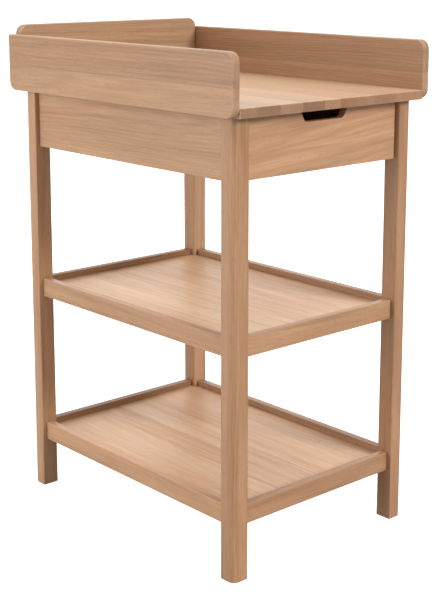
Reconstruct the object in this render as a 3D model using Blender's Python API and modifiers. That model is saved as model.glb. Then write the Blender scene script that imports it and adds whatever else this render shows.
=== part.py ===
"""Oak changing table: a tray top with three walls, one drawer on telescopic slides and two framed shelves.

Metres, +Z up. The origin is on the floor under the middle of the table. The front, with the drawer,
faces -Y, and +X is to the right of someone who stands in front of it and looks along +Y.
"""
import math

import bmesh
import bpy
from mathutils import Matrix, Vector

# Driving dimensions
FRAME_WIDTH = 0.488
FRAME_DEPTH = 0.682
LEG = 0.038
LEG_OUTER_RADIUS = 0.015
LEG_RADIUS = 0.003
TOP_UNDERSIDE = 0.902
TOP_THICKNESS = 0.019
WALL_THICKNESS = 0.018
SIDE_OVERHANG = 0.024
END_OVERHANG = 0.022
SIDE_WALL_HEIGHT = 0.120
BACK_WALL_HEIGHT = 0.140
WALL_CORNER_RADIUS = 0.020
RAIL_THICKNESS = 0.017
RAIL_HEIGHT = 0.040
APRON_HEIGHT = 0.122
SHELF_BOTTOMS = {"upper": 0.4435, "lower": 0.109}
PANEL_THICKNESS = 0.015
PANEL_RECESS = 0.014
GROOVE_DEPTH = 0.006
GAP = 0.0003
EDGE_RADIUS = 0.0025
ARRIS_RADIUS = 0.0015
CORNER_STEPS = 6
RAIL_CORNER_STEPS = 2

# Mortise and tenon joints
TENON_THICKNESS = 0.008
TENON_LENGTH = 0.0135
JOINT_OVERRUN = 0.009
TENON_SHOULDER = 0.006
APRON_SHOULDER = 0.012
TONGUE_THICKNESS = 0.006
TONGUE_STOP = 0.020

# Drawer
DRAWER_GAP = 0.0015
DRAWER_TOP_GAP = 0.002
DRAWER_FRONT_THICKNESS = 0.018
DRAWER_SIDE_LENGTH = 0.480
DRAWER_SIDE_THICKNESS = 0.012
DRAWER_SIDE_HEIGHT = 0.086
DRAWER_SIDE_BOTTOM = 0.790
DRAWER_BOTTOM_THICKNESS = 0.006
DRAWER_BOTTOM_RAISE = 0.010
DRAWER_GROOVE = 0.0038
CUTOUT_TOP_WIDTH = 0.128
CUTOUT_BOTTOM_WIDTH = 0.106
CUTOUT_DEPTH = 0.0225
CUTOUT_RADIUS = 0.010

# Telescopic slides, one on each side of the drawer
SLIDE_LENGTH = 0.450
SLIDE_SPACE = 0.0127
SLIDE_HEIGHT_Z = 0.833
SLIDE_SHEET = 0.0012
SLIDE_SETBACK = 0.005
OUTER_HALF_HEIGHT = 0.0225
OUTER_FLANGE = 0.0092
MIDDLE_START = 0.0054
MIDDLE_HALF_HEIGHT = 0.0185
MIDDLE_FLANGE = 0.0058
INNER_HALF_HEIGHT = 0.0140
INNER_FLANGE = 0.0044
BATTEN_HEIGHT = 0.050
SCREW_INSET = 0.035
SCREW_HEAD_RADIUS = 0.0035
SCREW_CROWN_RADIUS = 0.0021
SCREW_HEAD_HEIGHT = 0.0020
SCREW_RIM_HEIGHT = 0.0010
SCREW_SHANK_RADIUS = 0.0018
SCREW_LENGTH = 0.0090
SCREW_POINT_LENGTH = 0.0027
SCREW_SIDES = 12

# Worked out from the driving dimensions
HALF_WIDTH = FRAME_WIDTH / 2
HALF_DEPTH = FRAME_DEPTH / 2
BAY_HALF_WIDTH = HALF_WIDTH - LEG
BAY_HALF_DEPTH = HALF_DEPTH - LEG
SETBACK = (LEG - RAIL_THICKNESS) / 2
TENON_CENTRE = (RAIL_THICKNESS - GROOVE_DEPTH) / 2
TRAY_HALF_WIDTH = HALF_WIDTH + SIDE_OVERHANG
TRAY_HALF_DEPTH = HALF_DEPTH + END_OVERHANG
TOP_HALF_WIDTH = TRAY_HALF_WIDTH - WALL_THICKNESS
DRAWER_FRONT_FACE = -HALF_DEPTH + SETBACK
DRAWER_FRONT_BACK = DRAWER_FRONT_FACE + DRAWER_FRONT_THICKNESS
SLIDE_START = -BAY_HALF_DEPTH - SLIDE_SETBACK
DRAWER_BOX_HALF_WIDTH = BAY_HALF_WIDTH - SLIDE_SPACE - GAP

# Mesh clean-up and shading
WELD_DISTANCE = 1e-6
SCREW_WELD_DISTANCE = 1e-5
FLAT_ANGLE = math.radians(0.5)
BEVEL_ANGLE = math.radians(40)
SHARP_ANGLE = math.radians(35)
AXIS_SIZE = 0.05

WOOD_ROUGHNESS = 0.45
STEEL_ROUGHNESS = 0.30
OAK = (0.60, 0.40, 0.24)
OAK_LIGHT = (0.68, 0.49, 0.33)
BIRCH = (0.72, 0.58, 0.40)
ZINC = (0.62, 0.63, 0.65)

UP = Vector((0, 0, 1))
SIDES = {"left": -1, "right": 1}


def clear_scene():
    for obj in list(bpy.data.objects):
        bpy.data.objects.remove(obj, do_unlink=True)


def make_collection(name, hidden=False):
    collection = bpy.data.collections.new(name)
    bpy.context.scene.collection.children.link(collection)
    collection.hide_render = hidden
    return collection


def make_material(name, colour, roughness, metallic=0.0):
    material = bpy.data.materials.new(name)
    material.use_nodes = True
    shader = material.node_tree.nodes["Principled BSDF"]
    shader.inputs["Base Color"].default_value = (*colour, 1.0)
    shader.inputs["Roughness"].default_value = roughness
    shader.inputs["Metallic"].default_value = metallic
    return material


clear_scene()
PARTS = make_collection("changing_table")
CUTTERS = make_collection("cutters", hidden=True)


def wood(name, colour=OAK):
    return make_material(name, colour, WOOD_ROUGHNESS)


def steel(name):
    return make_material(name, ZINC, STEEL_ROUGHNESS, 1.0)


def add_part(name, mesh, material, matrix=None):
    obj = bpy.data.objects.new(name, mesh)
    PARTS.objects.link(obj)
    if matrix is not None:
        obj.matrix_world = matrix
    mesh.materials.clear()
    mesh.materials.append(material)
    return obj


def box_mesh(name, boxes):
    """One mesh holding a cuboid for each (low corner, high corner) pair."""
    built = bmesh.new()
    for low, high in boxes:
        low = Vector(low)
        high = Vector(high)
        size = Matrix.Diagonal((*(high - low), 1.0))
        bmesh.ops.create_cube(built, size=1.0, matrix=Matrix.Translation((low + high) / 2) @ size)
    mesh = bpy.data.meshes.new(name)
    built.to_mesh(mesh)
    built.free()
    return mesh


def add_box(name, low, high, material):
    return add_part(name, box_mesh(name, [(low, high)]), material)


def add_cutter(name, mesh):
    obj = bpy.data.objects.new(name, mesh)
    CUTTERS.objects.link(obj)
    obj.hide_render = True
    obj.display_type = "WIRE"
    return obj


def combine(obj, operation, other):
    modifier = obj.modifiers.new(other.name, "BOOLEAN")
    modifier.operation = operation
    modifier.object = other
    modifier.solver = "EXACT"


def cut_boxes(obj, boxes):
    combine(obj, "DIFFERENCE", add_cutter(obj.name + "_cut", box_mesh(obj.name + "_cut", boxes)))


def join_boxes(obj, boxes):
    combine(obj, "UNION", add_cutter(obj.name + "_tongues", box_mesh(obj.name + "_tongues", boxes)))


def round_edges(obj, radius, segments=2):
    modifier = obj.modifiers.new("rounded edges", "BEVEL")
    modifier.width = radius
    modifier.segments = segments
    modifier.limit_method = "ANGLE"
    modifier.angle_limit = BEVEL_ANGLE


def arc(centre, radius, start, end, steps):
    """Points on an arc, with its angles in degrees."""
    points = []
    for step in range(steps + 1):
        angle = math.radians(start + (end - start) * step / steps)
        points.append((centre[0] + radius * math.cos(angle), centre[1] + radius * math.sin(angle)))
    return points


def rounded_rectangle(low, high, radii, steps=CORNER_STEPS):
    """Outline anticlockwise from the lower left corner, with a radius (or 0) for each corner."""
    corners = (
        (low[0], low[1], 1, 1), (high[0], low[1], -1, 1),
        (high[0], high[1], -1, -1), (low[0], high[1], 1, -1),
    )
    points = []
    for index, (x, y, inward_x, inward_y) in enumerate(corners):
        radius = radii[index]
        if radius == 0:
            points.append((x, y))
            continue
        centre = (x + inward_x * radius, y + inward_y * radius)
        start = 180 + 90 * index
        points += arc(centre, radius, start, start + 90, steps)
    return points


def plate_mesh(name, outline, thickness):
    """A flat outline thickened evenly about its own plane, as a closed mesh."""
    curve = bpy.data.curves.new(name, "CURVE")
    curve.dimensions = "2D"
    curve.fill_mode = "BOTH"
    curve.extrude = thickness / 2
    spline = curve.splines.new("POLY")
    spline.points.add(len(outline) - 1)
    for point, (x, y) in zip(spline.points, outline):
        point.co = (x, y, 0, 1)
    spline.use_cyclic_u = True
    holder = bpy.data.objects.new(name, curve)
    PARTS.objects.link(holder)
    graph = bpy.context.evaluated_depsgraph_get()
    mesh = bpy.data.meshes.new_from_object(holder.evaluated_get(graph))
    bpy.data.objects.remove(holder, do_unlink=True)
    bpy.data.curves.remove(curve)
    welded = bmesh.new()
    welded.from_mesh(mesh)
    bmesh.ops.remove_doubles(welded, verts=welded.verts, dist=WELD_DISTANCE)
    bmesh.ops.dissolve_limit(welded, angle_limit=FLAT_ANGLE, verts=welded.verts, edges=welded.edges)
    bmesh.ops.recalc_face_normals(welded, faces=welded.faces)
    welded.to_mesh(mesh)
    welded.free()
    return mesh


def facing(inward, place):
    """Local X points inward from a piece's outer face, local Y is up and local Z runs along it."""
    rotation = Matrix((inward, UP, inward.cross(UP))).transposed().to_4x4()
    return Matrix.Translation(place) @ rotation


def add_bar(name, section, length, inward, place, material):
    """A bar with one cross-section, given as (distance from the outer face, height) points."""
    return add_part(name, plate_mesh(name, section, length), material, facing(inward, place))


def shade_round(obj):
    obj.data.shade_smooth()
    obj.data.set_sharp_from_angle(angle=SHARP_ANGLE)


def rail_joints():
    """(centre height, tenon height, whether the front has one too) of the rails that meet a leg."""
    tenon = RAIL_HEIGHT - 2 * TENON_SHOULDER
    joints = [(bottom + RAIL_HEIGHT / 2, tenon, True) for bottom in SHELF_BOTTOMS.values()]
    joints.append((TOP_UNDERSIDE - APRON_HEIGHT / 2, APRON_HEIGHT - 2 * APRON_SHOULDER, False))
    return joints


def mortises(side, end):
    """Mortise boxes of the leg on one side (-1 left, 1 right) and at one end (-1 front, 1 rear)."""
    boxes = []
    half = TENON_THICKNESS / 2 + GAP
    depth = TENON_LENGTH + GAP
    centre_x = side * (HALF_WIDTH - SETBACK - TENON_CENTRE)
    centre_y = end * (HALF_DEPTH - SETBACK - TENON_CENTRE)
    for height, tenon, on_front in rail_joints():
        low_z = height - tenon / 2 - GAP
        high_z = height + tenon / 2 + GAP
        across = sorted((side * (BAY_HALF_WIDTH - JOINT_OVERRUN), side * (BAY_HALF_WIDTH + depth)))
        along = sorted((end * (BAY_HALF_DEPTH - JOINT_OVERRUN), end * (BAY_HALF_DEPTH + depth)))
        boxes.append(((centre_x - half, along[0], low_z), (centre_x + half, along[1], high_z)))
        if on_front or end > 0:
            boxes.append(((across[0], centre_y - half, low_z), (across[1], centre_y + half, high_z)))
    return boxes


def make_legs():
    corner_of = {(-1, -1): 0, (1, -1): 1, (1, 1): 2, (-1, 1): 3}
    for side_name, side in SIDES.items():
        for end_name, end in (("front", -1), ("rear", 1)):
            name = f"leg_{end_name}_{side_name}"
            radii = [LEG_RADIUS] * 4
            radii[corner_of[side, end]] = LEG_OUTER_RADIUS
            outline = rounded_rectangle((-LEG / 2, -LEG / 2), (LEG / 2, LEG / 2), radii)
            height = TOP_UNDERSIDE - GAP
            place = Vector((side * (HALF_WIDTH - LEG / 2), end * (HALF_DEPTH - LEG / 2), height / 2))
            leg = add_part(name, plate_mesh(name, outline, height), wood(name), Matrix.Translation(place))
            round_edges(leg, ARRIS_RADIUS, 1)
            cut_boxes(leg, mortises(side, end))
            shade_round(leg)


def add_tenoned_rail(name, section, inward, bay_half, outer, height, shoulder, material):
    """A rail between two legs, with a stub tenon on each end. outer is its outer face's distance
    from the table's middle, and bay_half is half the distance between the legs that it joins."""
    place = -inward * outer
    rail = add_bar(name, section, 2 * (bay_half - GAP), inward, place, material)
    low_z = min(point[1] for point in section) + shoulder
    along = inward.cross(UP)
    middle = -inward * (outer - TENON_CENTRE)
    half = inward * (TENON_THICKNESS / 2)
    boxes = []
    for end in (-1, 1):
        root = middle + along * end * (bay_half - JOINT_OVERRUN)
        tip = middle + along * end * (bay_half + TENON_LENGTH - GAP)
        corners = (root - half, root + half, tip - half, tip + half)
        low = (min(c.x for c in corners), min(c.y for c in corners), low_z)
        high = (max(c.x for c in corners), max(c.y for c in corners), low_z + height - 2 * shoulder)
        boxes.append((low, high))
    join_boxes(rail, boxes)
    return rail


def four_sides():
    """(name, inward direction, distance of the outer face, half the gap between the legs)."""
    return (
        ("front", Vector((0, 1, 0)), HALF_DEPTH - SETBACK, BAY_HALF_WIDTH),
        ("back", Vector((0, -1, 0)), HALF_DEPTH - SETBACK, BAY_HALF_WIDTH),
        ("left", Vector((1, 0, 0)), HALF_WIDTH - SETBACK, BAY_HALF_DEPTH),
        ("right", Vector((-1, 0, 0)), HALF_WIDTH - SETBACK, BAY_HALF_DEPTH),
    )


def make_aprons():
    for name, inward, outer, bay_half in four_sides()[1:]:
        bottom = TOP_UNDERSIDE - APRON_HEIGHT
        top = TOP_UNDERSIDE - GAP
        radii = (ARRIS_RADIUS, ARRIS_RADIUS, 0, 0)
        section = rounded_rectangle((0, bottom), (RAIL_THICKNESS, top), radii, RAIL_CORNER_STEPS)
        node = "apron_" + name
        add_tenoned_rail(node, section, inward, bay_half, outer, APRON_HEIGHT, APRON_SHOULDER, wood(node))


def grooved_section(bottom):
    """A rail's cross-section, with the groove that holds the shelf panel on its inner face."""
    top = bottom + RAIL_HEIGHT
    groove_top = top - PANEL_RECESS + GAP
    groove_bottom = groove_top - PANEL_THICKNESS - 2 * GAP
    groove_back = RAIL_THICKNESS - GROOVE_DEPTH - GAP
    radii = (ARRIS_RADIUS,) * 4
    outline = rounded_rectangle((0, bottom), (RAIL_THICKNESS, top), radii, RAIL_CORNER_STEPS)
    groove = [(RAIL_THICKNESS, groove_bottom), (groove_back, groove_bottom)]
    groove += [(groove_back, groove_top), (RAIL_THICKNESS, groove_top)]
    lower_corners = 2 * (RAIL_CORNER_STEPS + 1)
    return outline[:lower_corners] + groove + outline[lower_corners:]


def notched_outline(half_x, half_y, notch_x, notch_y):
    """A rectangle with a square notch at each corner, anticlockwise."""
    return [
        (-notch_x, -half_y), (notch_x, -half_y), (notch_x, -notch_y), (half_x, -notch_y),
        (half_x, notch_y), (notch_x, notch_y), (notch_x, half_y), (-notch_x, half_y),
        (-notch_x, notch_y), (-half_x, notch_y), (-half_x, -notch_y), (-notch_x, -notch_y),
    ]


def make_shelf(level, bottom):
    for name, inward, outer, bay_half in four_sides():
        node = f"{level}_shelf_rail_{name}"
        section = grooved_section(bottom)
        add_tenoned_rail(node, section, inward, bay_half, outer, RAIL_HEIGHT, TENON_SHOULDER, wood(node))
    reach = SETBACK + RAIL_THICKNESS - GROOVE_DEPTH
    outline = notched_outline(
        HALF_WIDTH - reach, HALF_DEPTH - reach, BAY_HALF_WIDTH - GAP, BAY_HALF_DEPTH - GAP
    )
    node = f"{level}_shelf_panel"
    height = bottom + RAIL_HEIGHT - PANEL_RECESS - PANEL_THICKNESS / 2
    mesh = plate_mesh(node, outline, PANEL_THICKNESS)
    add_part(node, mesh, wood(node, OAK_LIGHT), Matrix.Translation((0, 0, height)))


def make_top():
    inner_back = TRAY_HALF_DEPTH - WALL_THICKNESS
    low = (-TOP_HALF_WIDTH + GAP, -TRAY_HALF_DEPTH, TOP_UNDERSIDE)
    high = (TOP_HALF_WIDTH - GAP, inner_back - GAP, TOP_UNDERSIDE + TOP_THICKNESS)
    top = add_box("changing_top", low, high, wood("changing_top", OAK_LIGHT))
    round_edges(top, ARRIS_RADIUS)
    tongue_low = TOP_UNDERSIDE + (TOP_THICKNESS - TONGUE_THICKNESS) / 2
    reach = GROOVE_DEPTH - GAP
    join_boxes(top, [(
        (-TOP_HALF_WIDTH - reach, -TRAY_HALF_DEPTH + TONGUE_STOP, tongue_low),
        (TOP_HALF_WIDTH + reach, inner_back - TONGUE_STOP, tongue_low + TONGUE_THICKNESS),
    )])
    shade_round(top)


def make_tray_side_walls():
    tongue_low = TOP_UNDERSIDE + (TOP_THICKNESS - TONGUE_THICKNESS) / 2
    inner_back = TRAY_HALF_DEPTH - WALL_THICKNESS
    for name, side in SIDES.items():
        node = "tray_wall_" + name
        inward = Vector((-side, 0, 0))
        # The wall's local X runs to the rear, and only its rear upper corner is square.
        radii = (WALL_CORNER_RADIUS, WALL_CORNER_RADIUS, 0, WALL_CORNER_RADIUS)
        outline = rounded_rectangle((-TRAY_HALF_DEPTH, 0), (TRAY_HALF_DEPTH, SIDE_WALL_HEIGHT), radii)
        mesh = plate_mesh(node, outline, WALL_THICKNESS)
        turn = Matrix((Vector((0, 1, 0)), UP, Vector((1, 0, 0)))).transposed().to_4x4()
        place = Matrix.Translation((side * (TRAY_HALF_WIDTH - WALL_THICKNESS / 2), 0, TOP_UNDERSIDE))
        wall = add_part(node, mesh, wood(node), place @ turn)
        round_edges(wall, EDGE_RADIUS, 3)
        inner_face = side * TOP_HALF_WIDTH
        groove = sorted((inner_face + inward.x * GROOVE_DEPTH, inner_face - inward.x * GROOVE_DEPTH))
        cut_boxes(wall, [(
            (groove[0], -TRAY_HALF_DEPTH + TONGUE_STOP - GAP, tongue_low - GAP),
            (groove[1], inner_back - TONGUE_STOP + GAP, tongue_low + TONGUE_THICKNESS + GAP),
        )])
        shade_round(wall)


def make_tray_back_wall():
    half = TOP_HALF_WIDTH - GAP
    radii = (0, 0, WALL_CORNER_RADIUS, WALL_CORNER_RADIUS)
    outline = rounded_rectangle((-half, 0), (half, BACK_WALL_HEIGHT), radii)
    mesh = plate_mesh("tray_wall_back", outline, WALL_THICKNESS)
    place = Vector((0, TRAY_HALF_DEPTH - WALL_THICKNESS / 2, TOP_UNDERSIDE))
    turn = Matrix((Vector((1, 0, 0)), UP, Vector((0, -1, 0)))).transposed().to_4x4()
    wall = add_part("tray_wall_back", mesh, wood("tray_wall_back"), Matrix.Translation(place) @ turn)
    round_edges(wall, EDGE_RADIUS, 3)
    shade_round(wall)


def cutout_outline(half, bottom, top):
    """The drawer front: a rectangle with the trapezoid finger cut-out in its top edge."""
    floor = top - CUTOUT_DEPTH
    half_top = CUTOUT_TOP_WIDTH / 2
    half_bottom = CUTOUT_BOTTOM_WIDTH / 2
    slope = math.degrees(math.atan2(CUTOUT_DEPTH, half_top - half_bottom))
    # The arc touches the cut-out's floor and its slanting side.
    centre_x = half_bottom - CUTOUT_RADIUS * math.tan(math.radians(slope / 2))
    centre = (centre_x, floor + CUTOUT_RADIUS)
    right = [(half_top, top)] + arc(centre, CUTOUT_RADIUS, slope - 90, -90, CORNER_STEPS)
    left = [(-x, y) for x, y in reversed(right)]
    return [(-half, bottom), (half, bottom), (half, top)] + right + left + [(-half, top)]


def make_drawer_box():
    half = BAY_HALF_WIDTH - DRAWER_GAP
    bottom = TOP_UNDERSIDE - APRON_HEIGHT + DRAWER_GAP
    outline = cutout_outline(half, bottom, TOP_UNDERSIDE - DRAWER_TOP_GAP)
    mesh = plate_mesh("drawer_front", outline, DRAWER_FRONT_THICKNESS)
    turn = Matrix((Vector((1, 0, 0)), UP, Vector((0, -1, 0)))).transposed().to_4x4()
    place = Matrix.Translation((0, DRAWER_FRONT_FACE + DRAWER_FRONT_THICKNESS / 2, 0))
    front = add_part("drawer_front", mesh, wood("drawer_front"), place @ turn)
    round_edges(front, ARRIS_RADIUS)

    side_start = DRAWER_FRONT_BACK + GAP
    side_end = side_start + DRAWER_SIDE_LENGTH
    inside = DRAWER_BOX_HALF_WIDTH - DRAWER_SIDE_THICKNESS
    panel_low = DRAWER_SIDE_BOTTOM + DRAWER_BOTTOM_RAISE
    panel_high = panel_low + DRAWER_BOTTOM_THICKNESS
    reach = inside + DRAWER_GROOVE - GAP
    cut_boxes(front, [(
        (-reach - GAP, DRAWER_FRONT_BACK - DRAWER_GROOVE, panel_low - GAP),
        (reach + GAP, DRAWER_FRONT_BACK + LEG, panel_high + GAP),
    )])
    shade_round(front)

    pieces = [front]
    for name, side in SIDES.items():
        top = DRAWER_SIDE_BOTTOM + DRAWER_SIDE_HEIGHT
        groove = DRAWER_SIDE_THICKNESS - DRAWER_GROOVE
        section = [
            (0, DRAWER_SIDE_BOTTOM), (DRAWER_SIDE_THICKNESS, DRAWER_SIDE_BOTTOM),
            (DRAWER_SIDE_THICKNESS, panel_low - GAP), (groove, panel_low - GAP),
            (groove, panel_high + GAP), (DRAWER_SIDE_THICKNESS, panel_high + GAP),
            (DRAWER_SIDE_THICKNESS, top), (0, top),
        ]
        place = Vector((side * DRAWER_BOX_HALF_WIDTH, (side_start + side_end) / 2, 0))
        node = "drawer_side_" + name
        length = DRAWER_SIDE_LENGTH
        pieces.append(add_bar(node, section, length, Vector((-side, 0, 0)), place, wood(node, BIRCH)))
    back_start = side_end - DRAWER_SIDE_THICKNESS
    pieces.append(add_box(
        "drawer_back",
        (-inside + GAP, back_start, panel_high + GAP),
        (inside - GAP, side_end, DRAWER_SIDE_BOTTOM + DRAWER_SIDE_HEIGHT),
        wood("drawer_back", BIRCH),
    ))
    pieces.append(add_box(
        "drawer_bottom",
        (-reach, DRAWER_FRONT_BACK - DRAWER_GROOVE + GAP, panel_low),
        (reach, side_end, panel_high),
        wood("drawer_bottom", BIRCH),
    ))
    return pieces


def channel_section(web, direction, half_height, flange):
    """A C channel, as (distance inward, height). Its web starts at web and its flanges reach flange on."""
    inner_web = web + direction * SLIDE_SHEET
    tip = web + direction * flange
    inner_height = half_height - SLIDE_SHEET
    outline = [
        (web, -half_height), (tip, -half_height), (tip, -inner_height), (inner_web, -inner_height),
        (inner_web, inner_height), (tip, inner_height), (tip, half_height), (web, half_height),
    ]
    return outline if direction > 0 else outline[::-1]


def screw_mesh(name):
    """A pan-head screw along +Z, with the underside of its head at the origin and its shank below."""
    profile = bpy.data.meshes.new(name)
    points = [
        (0, SCREW_HEAD_HEIGHT), (SCREW_CROWN_RADIUS, SCREW_HEAD_HEIGHT),
        (SCREW_HEAD_RADIUS, SCREW_RIM_HEIGHT), (SCREW_HEAD_RADIUS, 0),
        (SCREW_SHANK_RADIUS, 0), (SCREW_SHANK_RADIUS, SCREW_POINT_LENGTH - SCREW_LENGTH), (0, -SCREW_LENGTH),
    ]
    edges = [(index, index + 1) for index in range(len(points) - 1)]
    profile.from_pydata([(x, 0, z) for x, z in points], edges, [])
    return profile


def turn_profile(obj):
    modifier = obj.modifiers.new("turned", "SCREW")
    modifier.steps = SCREW_SIDES
    modifier.render_steps = SCREW_SIDES
    modifier.use_merge_vertices = True
    modifier.merge_threshold = SCREW_WELD_DISTANCE
    modifier.use_normal_calculate = False


def cylinder_mesh(name, holes):
    """One mesh holding a cylinder for each (start, end) pair of points."""
    radius = SCREW_SHANK_RADIUS + 2 * GAP
    built = bmesh.new()
    for start, end in holes:
        start = Vector(start)
        end = Vector(end)
        turn = (end - start).to_track_quat("Z", "Y").to_matrix().to_4x4()
        place = Matrix.Translation((start + end) / 2) @ turn
        bmesh.ops.create_cone(
            built, cap_ends=True, segments=SCREW_SIDES, radius1=radius, radius2=radius,
            depth=(end - start).length, matrix=place,
        )
    mesh = bpy.data.meshes.new(name)
    built.to_mesh(mesh)
    built.free()
    return mesh


def drill(obj, holes):
    name = obj.name + "_holes"
    combine(obj, "DIFFERENCE", add_cutter(name, cylinder_mesh(name, holes)))


def make_screws(stem, side, seat, direction, members):
    """Two screws through each of members. seat is the head seat's distance from the leg face, and
    direction is 1 where the shank points away from the drawer and -1 where it points at it."""
    screws = []
    holes = []
    face = side * (BAY_HALF_WIDTH - seat)
    point_out = Vector((side * direction, 0, 0))
    for end, y in (("front", SLIDE_START + SCREW_INSET), ("rear", SLIDE_START + SLIDE_LENGTH - SCREW_INSET)):
        node = f"{stem}_{end}"
        place = Vector((face, y, SLIDE_HEIGHT_Z))
        turn = (-point_out).to_track_quat("Z", "Y").to_matrix().to_4x4()
        screw = add_part(node, screw_mesh(node), steel(node), Matrix.Translation(place) @ turn)
        turn_profile(screw)
        screws.append(screw)
        holes.append((place - point_out * SLIDE_SHEET, place + point_out * (SCREW_LENGTH + 2 * GAP)))
    for member in members:
        drill(member, holes)
    return screws


def make_slide(name, side, drawer_side):
    """The three members of one slide, its batten and its screws. Returns what moves with the drawer
    and what moves at half its travel."""
    inward = Vector((-side, 0, 0))
    place = Vector((side * BAY_HALF_WIDTH, SLIDE_START + SLIDE_LENGTH / 2, SLIDE_HEIGHT_Z))
    sections = {
        "outer": channel_section(GAP, 1, OUTER_HALF_HEIGHT, OUTER_FLANGE),
        "middle": channel_section(MIDDLE_START, 1, MIDDLE_HALF_HEIGHT, MIDDLE_FLANGE),
        "inner": channel_section(SLIDE_SPACE - GAP, -1, INNER_HALF_HEIGHT, INNER_FLANGE),
    }
    members = {}
    for member, section in sections.items():
        node = f"slide_{member}_{name}"
        members[member] = add_bar(node, section, SLIDE_LENGTH, inward, place, steel(node))
    batten_outer = side * (HALF_WIDTH - SETBACK - RAIL_THICKNESS - GAP)
    batten_inner = side * BAY_HALF_WIDTH
    across = sorted((batten_outer, batten_inner))
    node = "slide_batten_" + name
    half = BATTEN_HEIGHT / 2
    batten = add_box(
        node,
        (across[0], -BAY_HALF_DEPTH + GAP, SLIDE_HEIGHT_Z - half),
        (across[1], BAY_HALF_DEPTH - GAP, SLIDE_HEIGHT_Z + half),
        wood(node),
    )
    outer_seat = SLIDE_SHEET + 2 * GAP
    inner_seat = SLIDE_SPACE - SLIDE_SHEET - 2 * GAP
    make_screws("slide_screw_frame_" + name, side, outer_seat, 1, (members["outer"], batten))
    screws = make_screws("slide_screw_drawer_" + name, side, inner_seat, -1, (members["inner"], drawer_side))
    return [members["inner"]] + screws, [members["middle"]]


def add_slider(name, place, pieces):
    """An empty on a slide joint's axis, which its pieces follow."""
    empty = bpy.data.objects.new(name, None)
    PARTS.objects.link(empty)
    empty.location = place
    empty.empty_display_size = AXIS_SIZE
    inverse = Matrix.Translation(-Vector(place))
    for piece in pieces:
        world = piece.matrix_basis.copy()
        piece.parent = empty
        piece.matrix_parent_inverse = inverse
        piece.matrix_basis = world


def make_drawer():
    moving = make_drawer_box()
    for name, side in SIDES.items():
        drawer_side = next(piece for piece in moving if piece.name == "drawer_side_" + name)
        with_drawer, halfway = make_slide(name, side, drawer_side)
        moving += with_drawer
        place = (side * BAY_HALF_WIDTH, SLIDE_START, SLIDE_HEIGHT_Z)
        add_slider(f"slide_middle_{name}_axis", place, halfway)
    add_slider("drawer_axis", (0, DRAWER_FRONT_FACE, SLIDE_HEIGHT_Z), moving)


make_legs()
make_aprons()
for shelf_level, shelf_bottom in SHELF_BOTTOMS.items():
    make_shelf(shelf_level, shelf_bottom)
make_top()
make_tray_side_walls()
make_tray_back_wall()
make_drawer()
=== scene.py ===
"""The looks of the oak changing table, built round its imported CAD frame.

Every visible board is made here in its own grain coordinates: X runs along the grain, and Y and Z
are measured from the heart of the log that the board is cut from. The grain is drawn from those
coordinates, so faces, edges and end grain of one board agree with each other.
"""

import math
import random

import bmesh
import bpy
from mathutils import Matrix, Vector


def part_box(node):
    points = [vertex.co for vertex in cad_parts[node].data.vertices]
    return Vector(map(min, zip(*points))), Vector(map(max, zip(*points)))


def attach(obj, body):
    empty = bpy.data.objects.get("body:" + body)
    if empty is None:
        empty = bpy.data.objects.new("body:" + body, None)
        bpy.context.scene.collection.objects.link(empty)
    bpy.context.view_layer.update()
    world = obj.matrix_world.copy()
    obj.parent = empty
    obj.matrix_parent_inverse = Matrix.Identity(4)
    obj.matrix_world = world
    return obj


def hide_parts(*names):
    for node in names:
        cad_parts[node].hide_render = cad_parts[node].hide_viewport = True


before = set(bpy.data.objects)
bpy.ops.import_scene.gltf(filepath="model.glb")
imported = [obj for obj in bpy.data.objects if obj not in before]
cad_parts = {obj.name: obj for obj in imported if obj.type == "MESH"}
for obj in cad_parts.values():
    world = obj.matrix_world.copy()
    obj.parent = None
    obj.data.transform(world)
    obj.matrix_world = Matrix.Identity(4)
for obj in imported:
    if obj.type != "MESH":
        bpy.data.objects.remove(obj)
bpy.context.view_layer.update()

# Shapes, in metres
GAP = 0.0003
LEG_OUTER_RADIUS = 0.015
LEG_RADIUS = 0.003
WALL_CORNER_RADIUS = 0.020
WALL_EDGE = 0.0028
TOP_EDGE = 0.0018
RAIL_EDGE = 0.0014
DRAWER_BOX_EDGE = 0.0008
STEEL_EDGE = 0.0003
CUTOUT_TOP_WIDTH = 0.128
CUTOUT_BOTTOM_WIDTH = 0.106
CUTOUT_DEPTH = 0.0225
CUTOUT_RADIUS = 0.010
ARC_STEPS = 8
EDGE_SEGMENTS = 3
EDGE_PROFILE = 0.5
STEEL_EDGE_SEGMENTS = 2
SHARP_ANGLE = math.radians(30)
FLAT_FACE_WEIGHT = 100

# How a stave is cut from its log: metres and degrees
LOG_SEED = 11
LOG_TURN_DEG = 25
LOG_SLANT_DEG = 1.0
LOG_LENGTH = 40
LOG_ASIDE = 0.03
LOG_FROM_HEART = (0.07, 0.14)
LOG_TAPER = 0.012
APRON_LEFT_SLANT_DEG = 1.0
DRAWER_SLANT_DEG = -4.5

# The wood's figure. Noise has its waves a metre, along the grain and twice across it. A spread is
# the part of a range that is stretched over 0 to 1, or over the share or roughness that is named.
SWAY = {"waves": (1.2, 8.0, 8.0), "detail": 3.0}
SWAY_REACH = (0.0, 0.030, 0.030)
STREAK = {"waves": (1.7, 65.0, 65.0), "detail": 4.0, "roughness": 0.55}
STREAK_SPREAD = (0.28, 0.72)
CLOUD = {"waves": (1.1, 10.0, 10.0), "detail": 2.0}
CLOUD_SPREAD = (0.30, 0.70)
FIBRE = {"waves": (11.0, 330.0, 330.0), "detail": 3.0, "roughness": 0.6}
FIBRE_SPREAD = (0.25, 0.75)
BLUSH = {"waves": (0.9, 16.0, 16.0), "detail": 2.0}
BLUSH_SPREAD = (0.35, 0.65)
DASHES = {"waves": (55.0, 1500.0, 1500.0), "detail": 1.0}
DASHES_SPREAD = (0.56, 0.70)
PORE_RING_SPREAD = (0.35, 0.90)
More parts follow.
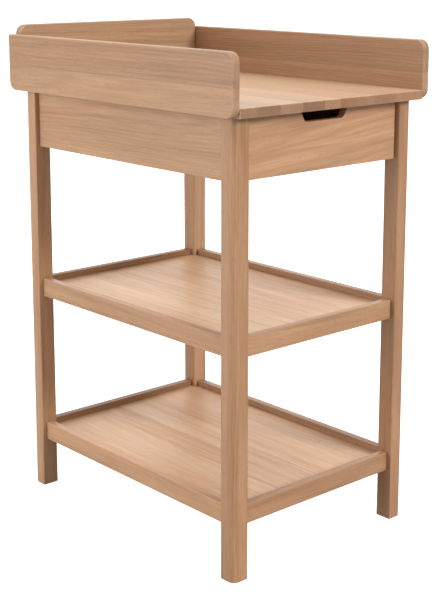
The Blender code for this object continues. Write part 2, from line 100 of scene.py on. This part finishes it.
# The rounded edges get a patchy painted highlight in their colour and a patchy lower roughness as wear.
EDGE_HIGHLIGHT_AND_WEAR_SPREAD = (0.40, 0.60)
EDGE_HIGHLIGHT_AND_WEAR_SHARE = (0.15, 0.55)
NOISE_MIDDLE = (0.5, 0.5, 0.5)
FIGURE_STOPS = (0.05, 0.50, 0.95)
NO_TINT = (1, 1, 1)
PALE_TINT = (0.99, 1.005, 1.005)
BLUSH_TINT = (1.02, 0.975, 0.95)
WARM_TINT = (1.02, 0.90, 0.78)
PORE_DARKNESS = 0.55
DARK_ROUGHNESS = 0.07
LIGHT_ROUGHNESS = -0.05
PORE_ROUGHNESS = 0.18
WORN_ROUGHNESS = -0.12
FIBRE_HEIGHT = 0.5
WOOD_BUMP = {"Strength": 0.22, "Distance": 0.0003}

# The steel's surface, its noise in waves a metre
ROLLING = {"waves": (900.0, 12.0, 900.0), "detail": 2.0}
SPANGLE = {"waves": (160.0, 160.0, 160.0), "detail": 1.0}
MARKS = {"waves": (25.0, 25.0, 25.0), "detail": 3.0}
MARKS_SPREAD = (0.3, 0.7)
STEEL_STOPS = (0.3, 0.7)
STEEL_COLOURS = ((0.44, 0.45, 0.47), (0.66, 0.67, 0.69))
STEEL_ROUGHNESS = (0.26, 0.42)
STEEL_BUMP = {"Strength": 0.08, "Distance": 0.0002}

# Each kind of wood: its dark, middle and light colour, and the tint and contrast of its end grain.
# The shares are those of the rings, the streaks, the clouds and the fibres.
OAK_LOOK = {
    "colours": ((0.29, 0.152, 0.076), (0.41, 0.232, 0.124), (0.52, 0.318, 0.184)),
    "end_tint": (0.96, 1.00, 1.10), "end_contrast": 0.0,
    "ring_width": 0.0045, "shares": (0.20, 0.30, 0.23, 0.27), "pore_share": 0.45, "roughness": 0.40,
}
# Oak for the shelves and the changing top, lighter than the oak above: the extra lightness is painted
# light, for the light that falls on these level boards.
LIT_OAK_PANEL_LOOK = {
    "colours": ((0.40, 0.235, 0.135), (0.53, 0.335, 0.200), (0.64, 0.428, 0.272)),
    "end_tint": (0.62, 0.53, 0.48), "end_contrast": 1.0,
    "ring_width": 0.0050, "shares": (0.18, 0.26, 0.24, 0.32), "pore_share": 0.35, "roughness": 0.42,
}
BIRCH_LOOK = {
    "colours": ((0.58, 0.430, 0.270), (0.70, 0.545, 0.370), (0.78, 0.640, 0.460)),
    "end_tint": (0.80, 0.74, 0.70), "end_contrast": 0.0,
    "ring_width": 0.0090, "shares": (0.10, 0.35, 0.35, 0.20), "pore_share": 0.15, "roughness": 0.44,
}

# Each board's tone, where 0 is the wood's own, and warmth, where 1 is the full warm tint. Some tones and
# warmths also carry painted shade, as noted below.
LEG_LOOKS = {
    # The front legs are drawn darker and warmer than the rear ones; this is partly the boards' own
    # colour and partly painted shade, for the shade on their inner faces and under the apron.
    "front_left": (-0.14, 0.60), "front_right": (-0.19, 0.55),
    "rear_left": (-0.06, 0.15), "rear_right": (-0.06, 0.20),
}
APRON_LOOKS = {"left": (-0.02, 0.05), "right": (-0.02, 0.10), "back": (0.00, 0.08)}
RAIL_LOOKS = {
    # The back rails are drawn darker and warmer and the right rails darker: painted shade, for the shade
    # and warm bounce light on their inner faces.
    "upper": {"front": (-0.12, 0.35), "back": (-0.42, 0.9), "left": (-0.09, 0.2), "right": (-0.20, 0.2)},
    "lower": {"front": (-0.20, 0.5), "back": (-0.42, 0.9), "left": (0.04, 0.3), "right": (-0.20, 0.2)},
}
WALL_JOINT = -0.006
WALL_LOOKS = ((-0.12, 0.1), (-0.22, 0.35))
BACK_WALL_JOINT = 0.012
# The back wall is drawn darker than the side walls; this is painted shade, for the shade on its front
# face between the side walls.
BACK_WALL_LOOKS = ((-0.20, 0.0), (-0.28, 0.0))
DRAWER_JOINT = -0.012
DRAWER_LOOKS = ((0.04, 0.0), (0.08, 0.0))

# Staves from the right of the table to the left: the joints between them, and each one's look
SHELF_JOINTS = (-0.152, -0.093, -0.036, 0.021, 0.083, 0.147)
# The shelf staves' tones are all raised, painted light for the light on the shelves; their differences
# are the staves' own.
SHELF_LOOKS = (
    (0.15, 0.0), (0.18, 0.0), (0.13, 0.1), (0.14, 0.0), (0.09, 0.1), (0.12, 0.0), (0.10, 0.0),
)
# Painted shade per shelf: both are drawn a little darker, the lower one more, for the shade under the
# upper shelf.
SHELF_PAINTED_SHADE = {"upper": -0.04, "lower": -0.11}
TOP_JOINTS = (-0.205, -0.167, -0.105, -0.058, -0.010, 0.033, 0.092, 0.150, 0.205)
TOP_LOOKS = (
    (0.00, 0.2), (-0.02, 0.0), (-0.10, 0.2), (-0.05, 0.0), (-0.12, 0.8),
    (-0.02, 0.1), (-0.17, 0.4), (-0.06, 0.0), (-0.15, 0.1), (-0.08, 0.0),
)

# Camera and lights
CAMERA_PLACE = (-1.810, -2.074, 1.188)
CAMERA_TURN_DEG = -41.38
CAMERA_TILT_DEG = 10.48
CAMERA_LENS_MM = 78.5
CAMERA_SHIFT_Y = -0.17
KEY_FROM = (0.49, -2.0, 1.0)
KEY_STRENGTH = 3.0
KEY_ANGLE_DEG = 20.0
TOP_LIGHT_PLACE = (-0.7, -0.7, 3.2)
TOP_LIGHT_AIM = (0, 0, 0.9)
TOP_LIGHT_POWER = 47.0
FILL_PLACE = (-3.2, 0.9, 1.5)
FILL_POWER = 86.0
REAR_PLACE = (1.7, 2.8, 2.0)
REAR_POWER = 70.0
SIDE_LIGHT_AIM = (0, 0, 0.6)
SOFT_LIGHT_SIZE = 2.4
AMBIENT = 0.19
BACKDROP_GLOW = 1.5
# The Y of the directions over which the reflected backdrop fades in
REARWARD = (-0.2, 0.3)
FLOOR_SIZE = 30.0
FLOOR_GREY = (0.60, 0.60, 0.60, 1)
FLOOR_ROUGHNESS = 0.9
FLOOR_GLOW = 0.92
WHITE = (1, 1, 1, 1)

X = Vector((1, 0, 0))
Y = Vector((0, 1, 0))
Z = Vector((0, 0, 1))
CORNER_SIGNS = ((-1, -1), (1, -1), (1, 1), (-1, 1))
SIDES = {"left": -1, "right": 1}
ENDS = {"front": -1, "rear": 1}
OUTWARDS = {"front": -Y, "back": Y, "left": -X, "right": X}
logs = random.Random(LOG_SEED)


# ---------------------------------------------------------------- outlines

def arc(centre, radius, start, end):
    points = []
    for step in range(ARC_STEPS + 1):
        angle = math.radians(start + (end - start) * step / ARC_STEPS)
        points.append((centre[0] + radius * math.cos(angle), centre[1] + radius * math.sin(angle)))
    return points


def rectangle(half_x, half_y, radii=(0, 0, 0, 0)):
    """Outline anticlockwise from the corner at -x, -y, with a radius for each corner."""
    points = []
    for index, (sign_x, sign_y) in enumerate(CORNER_SIGNS):
        radius = radii[index]
        corner = (sign_x * half_x, sign_y * half_y)
        if radius == 0:
            points.append(corner)
            continue
        centre = (corner[0] - sign_x * radius, corner[1] - sign_y * radius)
        start = 180 + 90 * index
        points += arc(centre, radius, start, start + 90)
    return points


def cutout_front(half_x, half_y):
    """The drawer front's outline, with the finger cut-out in the middle of its top edge."""
    floor = half_y - CUTOUT_DEPTH
    half_top = CUTOUT_TOP_WIDTH / 2
    half_bottom = CUTOUT_BOTTOM_WIDTH / 2
    slope = math.degrees(math.atan2(CUTOUT_DEPTH, half_top - half_bottom))
    centre = (half_bottom - CUTOUT_RADIUS * math.tan(math.radians(slope / 2)), floor + CUTOUT_RADIUS)
    right = [(half_top, half_y)] + arc(centre, CUTOUT_RADIUS, slope - 90, -90)
    left = [(-x, y) for x, y in reversed(right)]
    return [(-half_x, -half_y), (half_x, -half_y), (half_x, half_y)] + right + left + [(-half_x, half_y)]


def notched(half_x, half_y, notch_x, notch_y):
    """A rectangle with a square notch at each corner, anticlockwise."""
    return [
        (-notch_x, -half_y), (notch_x, -half_y), (notch_x, -notch_y), (half_x, -notch_y),
        (half_x, notch_y), (notch_x, notch_y), (notch_x, half_y), (-notch_x, half_y),
        (-notch_x, notch_y), (-half_x, notch_y), (-half_x, -notch_y), (-notch_x, -notch_y),
    ]


# ---------------------------------------------------------------- boards

def prism(outline, depth, lengthwise):
    """A closed solid: the outline lies in X and Y and is thickened along Z or, for a bar whose
    cross-section it is, lies in Y and Z and runs along X."""
    built = bmesh.new()
    near = []
    far = []
    for point in outline:
        for side, end in ((near, -depth / 2), (far, depth / 2)):
            place = (end, *point) if lengthwise else (*point, end)
            side.append(built.verts.new(place))
    built.faces.new(near[::-1])
    built.faces.new(far)
    count = len(outline)
    for index in range(count):
        after = (index + 1) % count
        built.faces.new((near[index], near[after], far[after], far[index]))
    bmesh.ops.recalc_face_normals(built, faces=built.faces)
    return built


def soften(built, radius):
    """Rounds the sharp edges, and marks the new faces for a painted highlight and edge wear."""
    edge_highlight_and_wear = built.faces.layers.float.new("edge_highlight_and_wear")
    sharp = [edge for edge in built.edges if edge.calc_face_angle(0) > SHARP_ANGLE]
    rounded = bmesh.ops.bevel(
        built, geom=sharp, offset=radius, segments=EDGE_SEGMENTS, profile=EDGE_PROFILE,
        affect="EDGES", clamp_overlap=True,
    )
    for face in rounded["faces"]:
        face[edge_highlight_and_wear] = 1.0


def split_at(built, joints):
    """Cuts the faces where two staves meet, so that each face belongs to one stave."""
    for joint in joints:
        everything = list(built.verts) + list(built.edges) + list(built.faces)
        bmesh.ops.bisect_plane(built, geom=everything, plane_co=(0, joint, 0), plane_no=(0, 1, 0))


def cut_from_log(slant_deg):
    """Grain coordinates of one stave: a turn about the grain, a small slant and a place in the log."""
    turn = Matrix.Rotation(math.radians(logs.uniform(-LOG_TURN_DEG, LOG_TURN_DEG)), 4, "X")
    slant_deg += logs.uniform(-LOG_SLANT_DEG, LOG_SLANT_DEG)
    slant = Matrix.Rotation(math.radians(slant_deg), 4, "Z")
    along = logs.uniform(0, LOG_LENGTH)
    aside = logs.uniform(-LOG_ASIDE, LOG_ASIDE)
    outwards = logs.uniform(*LOG_FROM_HEART)
    return Matrix.Translation((along, aside, outwards)) @ turn @ slant


def write_grain(mesh, joints, looks, slant_deg):
    """Stores the grain coordinates, and each stave's tone, warmth and share of end grain."""
    grain = mesh.attributes.new("grain", "FLOAT_VECTOR", "CORNER")
    look = mesh.attributes.new("look", "FLOAT_VECTOR", "CORNER")
    staves = [cut_from_log(slant_deg) for _ in looks]
    for face in mesh.polygons:
        stave = sum(face.center.y > joint for joint in joints)
        tone, warmth = looks[stave]
        end_grain = max(0.0, 2 * abs(face.normal.x) - 1)
        for corner in face.loop_indices:
            point = mesh.vertices[mesh.loops[corner].vertex_index].co
            grain.data[corner].vector = staves[stave] @ point
            look.data[corner].vector = (tone, warmth, end_grain)


def add_board(node, body, material, outline, depth, place, along, normal,
              edge=RAIL_EDGE, lengthwise=False, joints=(), looks=((0, 0),), slant_deg=0.0):
    """Makes one board, puts it where its CAD node is and lets it stand for that node."""
    built = prism(outline, depth, lengthwise)
    soften(built, edge)
    split_at(built, joints)
    mesh = bpy.data.meshes.new(node + "_board")
    built.to_mesh(mesh)
    built.free()
    write_grain(mesh, joints, looks, slant_deg)
    mesh.materials.append(material)
    mesh.shade_smooth()
    board = bpy.data.objects.new(node + "_board", mesh)
    bpy.context.scene.collection.objects.link(board)
    axes = Matrix((along, normal.cross(along), normal)).transposed().to_4x4()
    board.matrix_world = Matrix.Translation(place) @ axes
    normals = board.modifiers.new("flat faces", "WEIGHTED_NORMAL")
    normals.mode = "FACE_AREA"
    normals.weight = FLAT_FACE_WEIGHT
    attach(board, body)
    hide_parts(node)


def middle_and_size(node):
    low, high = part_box(node)
    return (low + high) / 2, high - low


def clear_half(node, axis):
    """Half the clear width between two mirrored pieces, from the inner face of the one on the
    left or at the front."""
    return -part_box(node)[1][axis] - GAP


# ---------------------------------------------------------------- materials

class Nodes:
    """Short calls for adding and linking shader nodes."""

    def __init__(self, tree):
        self.tree = tree

    def link(self, source, target):
        self.tree.links.new(source, target)

    def add(self, kind, inputs=None, **settings):
        node = self.tree.nodes.new(kind)
        for key, value in settings.items():
            setattr(node, key, value)
        for key, value in (inputs or {}).items():
            if isinstance(value, bpy.types.NodeSocket):
                self.link(value, node.inputs[key])
            else:
                node.inputs[key].default_value = value
        return node

    def attribute(self, name, output="Vector"):
        return self.add("ShaderNodeAttribute", attribute_name=name).outputs[output]

    def math(self, operation, *values):
        node = self.add("ShaderNodeMath", dict(enumerate(values)), operation=operation)
        return node.outputs[0]

    def vector(self, operation, first, second):
        node = self.add("ShaderNodeVectorMath", {0: first, 1: second}, operation=operation)
        return node.outputs[0]

    def noise(self, vector, waves, detail, roughness=0.5, output="Fac"):
        stretched = self.vector("MULTIPLY", vector, waves)
        inputs = {"Vector": stretched, "Scale": 1.0, "Detail": detail, "Roughness": roughness}
        return self.add("ShaderNodeTexNoise", inputs).outputs[output]

    def remap(self, value, low, high, to_low=0.0, to_high=1.0):
        inputs = {"Value": value, "From Min": low, "From Max": high, "To Min": to_low, "To Max": to_high}
        return self.add("ShaderNodeMapRange", inputs, interpolation_type="SMOOTHSTEP").outputs[0]

    def ramp(self, value, stops, colours):
        node = self.add("ShaderNodeValToRGB", {"Fac": value})
        elements = node.color_ramp.elements
        while len(elements) < len(stops):
            elements.new(0.5)
        for element, position, colour in zip(elements, stops, colours):
            element.position = position
            element.color = (*colour, 1.0)
        return node.outputs["Color"]

    def mix(self, factor, first, second, blend="MIX"):
        node = self.tree.nodes.new("ShaderNodeMix")
        node.data_type = "RGBA"
        node.blend_type = blend
        # The colour sockets of a Mix node are its inputs 6 and 7 and its output 2.
        for index, value in ((0, factor), (6, first), (7, second)):
            if isinstance(value, bpy.types.NodeSocket):
                self.link(value, node.inputs[index])
            else:
                node.inputs[index].default_value = value if index == 0 else (*value, 1.0)
        return node.outputs[2]

    def tint(self, factor, colour, at_zero, at_one):
        return self.mix(1.0, colour, self.mix(factor, at_zero, at_one), "MULTIPLY")


def new_material(name):
    """A material, short calls for its nodes, and the inputs of its shader."""
    material = bpy.data.materials.new(name)
    material.use_nodes = True
    nodes = Nodes(material.node_tree)
    return material, nodes, nodes.tree.nodes["Principled BSDF"].inputs


def add_bump(nodes, shader, height, settings):
    bump = nodes.add("ShaderNodeBump", {"Height": height, **settings})
    nodes.link(bump.outputs["Normal"], shader["Normal"])


def growth_rings(nodes, grain, ring_width):
    """Rings round the heart of the log, bent by its slow sway. Gives the bent place too."""
    sway = nodes.noise(grain, **SWAY, output="Color")
    centred = nodes.vector("SUBTRACT", sway, NOISE_MIDDLE)
    bent = nodes.vector("ADD", grain, nodes.vector("MULTIPLY", centred, SWAY_REACH))
    across = nodes.vector("MULTIPLY", bent, (0.0, 1.0, 1.0))
    radius = nodes.add("ShaderNodeVectorMath", {0: across}, operation="LENGTH").outputs["Value"]
    length = nodes.add("ShaderNodeSeparateXYZ", {0: bent}).outputs["X"]
    tapered = nodes.math("MULTIPLY_ADD", length, LOG_TAPER, radius)
    wave = nodes.math("SINE", nodes.math("MULTIPLY", tapered, math.tau / ring_width))
    return bent, nodes.math("MULTIPLY_ADD", wave, 0.5, 0.5)


def wood_figure(nodes, grain, ring, streak, fibre, shares):
    """How light the wood is, from 0 to 1: the sum of its rings, streaks, clouds and fibres."""
    layers = (
        ring,
        nodes.remap(streak, *STREAK_SPREAD),
        nodes.remap(nodes.noise(grain, **CLOUD), *CLOUD_SPREAD),
        nodes.remap(fibre, *FIBRE_SPREAD),
    )
    figure = 0.0
    for layer, share in zip(layers, shares):
        figure = nodes.math("MULTIPLY_ADD", layer, share, figure)
    return figure


def wood_pores(nodes, bent, ring):
    """Short dark dashes along the grain, crowded in the dense part of each ring."""
    dashes = nodes.remap(nodes.noise(bent, **DASHES), *DASHES_SPREAD)
    return nodes.math("MULTIPLY", dashes, nodes.remap(ring, *PORE_RING_SPREAD))


def wood_colour(nodes, grain, figure, pores, highlight_and_wear, colours, pore_share, end_tint, end_contrast):
    """The figure's colour with its blush, pores and a painted highlight on the rounded edges, then the
    stave's tone and warmth.
    """
    dark, _, light = colours
    tone, warmth, end_grain = nodes.add("ShaderNodeSeparateXYZ", {0: nodes.attribute("look")}).outputs
    colour = nodes.ramp(figure, FIGURE_STOPS, colours)
    blush = nodes.remap(nodes.noise(grain, **BLUSH), *BLUSH_SPREAD)
    colour = nodes.tint(blush, colour, PALE_TINT, BLUSH_TINT)
    pore_colour = tuple(channel * PORE_DARKNESS for channel in dark)
    colour = nodes.mix(nodes.math("MULTIPLY", pores, pore_share), colour, pore_colour)
    # Painted highlight: the rounded edges are drawn lighter, in patches.
    colour = nodes.mix(highlight_and_wear, colour, light)
    colour = nodes.tint(end_grain, colour, NO_TINT, end_tint)
    colour = nodes.tint(warmth, colour, NO_TINT, WARM_TINT)
    contrast = nodes.math("MULTIPLY_ADD", end_grain, end_contrast, 1.0)
    value = nodes.math("MULTIPLY_ADD", tone, contrast, 1.0)
    return nodes.add("ShaderNodeHueSaturation", {"Color": colour, "Value": value}).outputs["Color"]


def wood(name, colours, end_tint, end_contrast, ring_width, shares, pore_share, roughness):
    """A hardwood drawn in grain coordinates: growth rings, streaks, fibres, pores and end grain."""
    material, nodes, shader = new_material(name)
    grain = nodes.attribute("grain")
    bent, ring = growth_rings(nodes, grain, ring_width)
    streak = nodes.noise(bent, **STREAK)
    fibre = nodes.noise(bent, **FIBRE)
    figure = wood_figure(nodes, grain, ring, streak, fibre, shares)
    pores = wood_pores(nodes, bent, ring)
    # Patchy mask of the rounded edges: painted highlight in the colour, wear in the roughness.
    patchy = nodes.remap(streak, *EDGE_HIGHLIGHT_AND_WEAR_SPREAD, *EDGE_HIGHLIGHT_AND_WEAR_SHARE)
    highlight_and_wear = nodes.math("MULTIPLY", nodes.attribute("edge_highlight_and_wear", "Fac"), patchy)
    colour = wood_colour(
        nodes, grain, figure, pores, highlight_and_wear, colours, pore_share, end_tint, end_contrast,
    )
    nodes.link(colour, shader["Base Color"])

    rough = nodes.remap(figure, 0.0, 1.0, roughness + DARK_ROUGHNESS, roughness + LIGHT_ROUGHNESS)
    rough = nodes.math("MULTIPLY_ADD", pores, PORE_ROUGHNESS, rough)
    rough = nodes.math("MULTIPLY_ADD", highlight_and_wear, WORN_ROUGHNESS, rough)
    nodes.link(rough, shader["Roughness"])
    raised = nodes.math("MULTIPLY", fibre, FIBRE_HEIGHT)
    add_bump(nodes, shader, nodes.math("MULTIPLY_ADD", pores, -1.0, raised), WOOD_BUMP)
    return material


def zinc_steel():
    """Rolled steel sheet with zinc plating: drawn streaks, faint spangle and handling marks."""
    material, nodes, shader = new_material("zinc_plated_steel")
    place = nodes.add("ShaderNodeTexCoord").outputs["Object"]
    rolling = nodes.noise(place, **ROLLING)
    spangle = nodes.noise(place, **SPANGLE)
    marks = nodes.noise(place, **MARKS)
    figure = nodes.math("MULTIPLY_ADD", spangle, 0.5, nodes.math("MULTIPLY", rolling, 0.5))
    nodes.link(nodes.ramp(figure, STEEL_STOPS, STEEL_COLOURS), shader["Base Color"])
    shader["Metallic"].default_value = 1.0
    nodes.link(nodes.remap(marks, *MARKS_SPREAD, *STEEL_ROUGHNESS), shader["Roughness"])
    add_bump(nodes, shader, rolling, STEEL_BUMP)
    return material


OAK = wood("oak", **OAK_LOOK)
# A lighter copy of the oak, painted light for the level boards.
LIT_OAK_PANEL = wood("oak_panel", **LIT_OAK_PANEL_LOOK)
BIRCH = wood("birch", **BIRCH_LOOK)
ZINC = zinc_steel()


# ---------------------------------------------------------------- the pieces

def make_legs():
    """Four legs, each with its outer corner strongly rounded. They lie along local X, which
    points up, so the corner signs are those of the plan."""
    for end_name, end in ENDS.items():
        for side_name, side in SIDES.items():
            node = f"leg_{end_name}_{side_name}"
            place, size = middle_and_size(node)
            radii = [LEG_RADIUS] * 4
            radii[CORNER_SIGNS.index((side, end))] = LEG_OUTER_RADIUS
            add_board(
                node, "frame", OAK, rectangle(size.x / 2, size.y / 2, radii), size.z,
                place, Z, Y, edge=RAIL_EDGE, lengthwise=True,
                looks=(LEG_LOOKS[f"{end_name}_{side_name}"],),
            )


def add_rail(node, side, look, slant_deg=0.0):
    """An apron or shelf rail on one side of the frame: front, back, left or right."""
    place, size = middle_and_size(node)
    run = 0 if side in ("front", "back") else 1
    normal = OUTWARDS[side]
    outline = rectangle(clear_half("leg_front_left", run), size.z / 2)
    add_board(
        node, "frame", OAK, outline, size[1 - run], place, Z.cross(normal), normal,
        looks=(look,), slant_deg=slant_deg,
    )


def make_rails():
    add_rail("apron_left", "left", APRON_LOOKS["left"], APRON_LEFT_SLANT_DEG)
    add_rail("apron_right", "right", APRON_LOOKS["right"])
    add_rail("apron_back", "back", APRON_LOOKS["back"])
    for level, looks in RAIL_LOOKS.items():
        for side, look in looks.items():
            add_rail(f"{level}_shelf_rail_{side}", side, look)


def make_panels():
    """The grain runs from front to back, so local X is the table's Y and local Y is its -X."""
    for level, shift in SHELF_PAINTED_SHADE.items():
        node = f"{level}_shelf_panel"
        place, size = middle_and_size(node)
        outline = notched(
            clear_half(f"{level}_shelf_rail_front", 1), clear_half(f"{level}_shelf_rail_left", 0),
            clear_half("leg_front_left", 1), clear_half("leg_front_left", 0),
        )
        # Each shelf's painted shade is added to its staves' tones.
        looks = [(tone + shift, warmth) for tone, warmth in SHELF_LOOKS]
        add_board(
            node, "frame", LIT_OAK_PANEL, outline, size.z, place, Y, Z,
            joints=SHELF_JOINTS, looks=looks,
        )


def make_top():
    place, size = middle_and_size("changing_top")
    outline = rectangle(size.y / 2, clear_half("tray_wall_left", 0))
    add_board(
        "changing_top", "frame", LIT_OAK_PANEL, outline, size.z, place, Y, Z,
        edge=TOP_EDGE, joints=TOP_JOINTS, looks=TOP_LOOKS,
    )


def make_walls():
    radius = WALL_CORNER_RADIUS
    for name, side in SIDES.items():
        node = "tray_wall_" + name
        place, size = middle_and_size(node)
        normal = OUTWARDS[name]
        # Only the rear upper corner is square. Local X runs to the rear on the right wall.
        radii = (radius, radius, 0, radius) if side > 0 else (radius, radius, radius, 0)
        add_board(
            node, "frame", OAK, rectangle(size.y / 2, size.z / 2, radii), size.x,
            place, Z.cross(normal), normal, edge=WALL_EDGE, joints=(WALL_JOINT,), looks=WALL_LOOKS,
        )
    place, size = middle_and_size("tray_wall_back")
    outline = rectangle(size.x / 2, size.z / 2, (0, 0, radius, radius))
    add_board(
        "tray_wall_back", "frame", OAK, outline, size.y, place, X, -Y,
        edge=WALL_EDGE, joints=(BACK_WALL_JOINT,), looks=BACK_WALL_LOOKS,
    )


def make_drawer_front():
    place, size = middle_and_size("drawer_front")
    add_board(
        "drawer_front", "drawer", OAK, cutout_front(size.x / 2, size.z / 2), size.y,
        place, X, -Y, joints=(DRAWER_JOINT,), looks=DRAWER_LOOKS, slant_deg=DRAWER_SLANT_DEG,
    )


def make_drawer_box():
    """Two sides, a back, and a bottom that starts behind the front and lies between the sides."""
    for name in SIDES:
        node = "drawer_side_" + name
        place, size = middle_and_size(node)
        normal = OUTWARDS[name]
        add_board(
            node, "drawer", BIRCH, rectangle(size.y / 2, size.z / 2), size.x,
            place, Z.cross(normal), normal, edge=DRAWER_BOX_EDGE,
        )
    place, size = middle_and_size("drawer_back")
    add_board(
        "drawer_back", "drawer", BIRCH, rectangle(size.x / 2, size.z / 2), size.y,
        place, X, -Y, edge=DRAWER_BOX_EDGE,
    )
    low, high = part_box("drawer_bottom")
    low.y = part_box("drawer_front")[1].y + GAP
    half_x = -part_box("drawer_side_left")[1].x - GAP
    add_board(
        "drawer_bottom", "drawer", BIRCH, rectangle(half_x, (high.y - low.y) / 2),
        high.z - low.z, (low + high) / 2, X, Z, edge=DRAWER_BOX_EDGE,
    )


def make_battens():
    for name in SIDES:
        node = "slide_batten_" + name
        place, size = middle_and_size(node)
        add_board(
            node, "frame", OAK, rectangle(size.y / 2, size.z / 2), size.x,
            place, Y, X, edge=DRAWER_BOX_EDGE,
        )


def finish_steel():
    """The slides and screws keep their CAD meshes, and the slides get softened edges."""
    for node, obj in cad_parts.items():
        if not node.startswith("slide_") or node.startswith("slide_batten"):
            continue
        obj.data.materials.clear()
        obj.data.materials.append(ZINC)
        if not node.startswith("slide_screw"):
            edge = obj.modifiers.new("rolled edges", "BEVEL")
            edge.width = STEEL_EDGE
            edge.segments = STEEL_EDGE_SEGMENTS
            edge.limit_method = "ANGLE"


# ---------------------------------------------------------------- stage, light and camera

def make_floor():
    """A plain pale floor that looks as white as the backdrop to the camera."""
    mesh = bpy.data.meshes.new("floor")
    built = bmesh.new()
    bmesh.ops.create_grid(built, x_segments=1, y_segments=1, size=FLOOR_SIZE / 2)
    built.to_mesh(mesh)
    built.free()
    material, nodes, shader = new_material("floor")
    shader["Base Color"].default_value = FLOOR_GREY
    shader["Roughness"].default_value = FLOOR_ROUGHNESS
    shader["Emission Color"].default_value = WHITE
    seen = nodes.add("ShaderNodeLightPath").outputs["Is Camera Ray"]
    nodes.link(nodes.math("MULTIPLY", seen, FLOOR_GLOW), shader["Emission Strength"])
    mesh.materials.append(material)
    floor = bpy.data.objects.new("floor", mesh)
    bpy.context.scene.collection.objects.link(floor)
    floor.location.z = -GAP


def add_light(name, kind, place, aim, power):
    data = bpy.data.lights.new(name, kind)
    data.energy = power
    light = bpy.data.objects.new(name, data)
    bpy.context.scene.collection.objects.link(light)
    light.location = place
    light.rotation_mode = "QUATERNION"
    light.rotation_quaternion = (Vector(place) - Vector(aim)).to_track_quat("Z", "Y")
    return light


def add_soft_light(name, place, aim, power):
    light = add_light(name, "AREA", place, aim, power)
    light.data.size = SOFT_LIGHT_SIZE
    return light


def make_lights():
    key = add_light("key", "SUN", KEY_FROM, (0, 0, 0), KEY_STRENGTH)
    key.data.angle = math.radians(KEY_ANGLE_DEG)
    add_soft_light("top", TOP_LIGHT_PLACE, TOP_LIGHT_AIM, TOP_LIGHT_POWER)
    add_soft_light("fill", FILL_PLACE, SIDE_LIGHT_AIM, FILL_POWER)
    rear = add_soft_light("rear", REAR_PLACE, SIDE_LIGHT_AIM, REAR_POWER)
    # Its reflection would wash out the level boards.
    rear.visible_glossy = False


def make_studio():
    """A dim room with a bright white backdrop. The camera sees white on every side of the table, and
    the varnish reflects it from the rear only."""
    world = bpy.data.worlds.new("studio")
    bpy.context.scene.world = world
    world.use_nodes = True
    nodes = Nodes(world.node_tree)
    direction = nodes.add("ShaderNodeTexCoord").outputs["Generated"]
    rearward = nodes.add("ShaderNodeSeparateXYZ", {0: direction}).outputs["Y"]
    path = nodes.add("ShaderNodeLightPath").outputs
    reflected = nodes.math("MULTIPLY", path["Is Glossy Ray"], nodes.remap(rearward, *REARWARD))
    white = nodes.math("MAXIMUM", path["Is Camera Ray"], reflected)
    glow = nodes.math("MULTIPLY_ADD", white, BACKDROP_GLOW - AMBIENT, AMBIENT)
    background = nodes.tree.nodes["Background"]
    background.inputs["Color"].default_value = WHITE
    nodes.link(glow, background.inputs["Strength"])


def make_camera():
    data = bpy.data.cameras.new("camera")
    data.lens = CAMERA_LENS_MM
    data.shift_y = CAMERA_SHIFT_Y
    camera = bpy.data.objects.new("camera", data)
    bpy.context.scene.collection.objects.link(camera)
    camera.location = CAMERA_PLACE
    camera.rotation_euler = (math.radians(90 - CAMERA_TILT_DEG), 0, math.radians(CAMERA_TURN_DEG))
    bpy.context.scene.camera = camera


make_legs()
make_rails()
make_panels()
make_top()
make_walls()
make_drawer_front()
make_drawer_box()
make_battens()
finish_steel()
make_floor()
make_lights()
make_studio()
make_camera()
bpy.context.scene.view_settings.view_transform = "Standard"
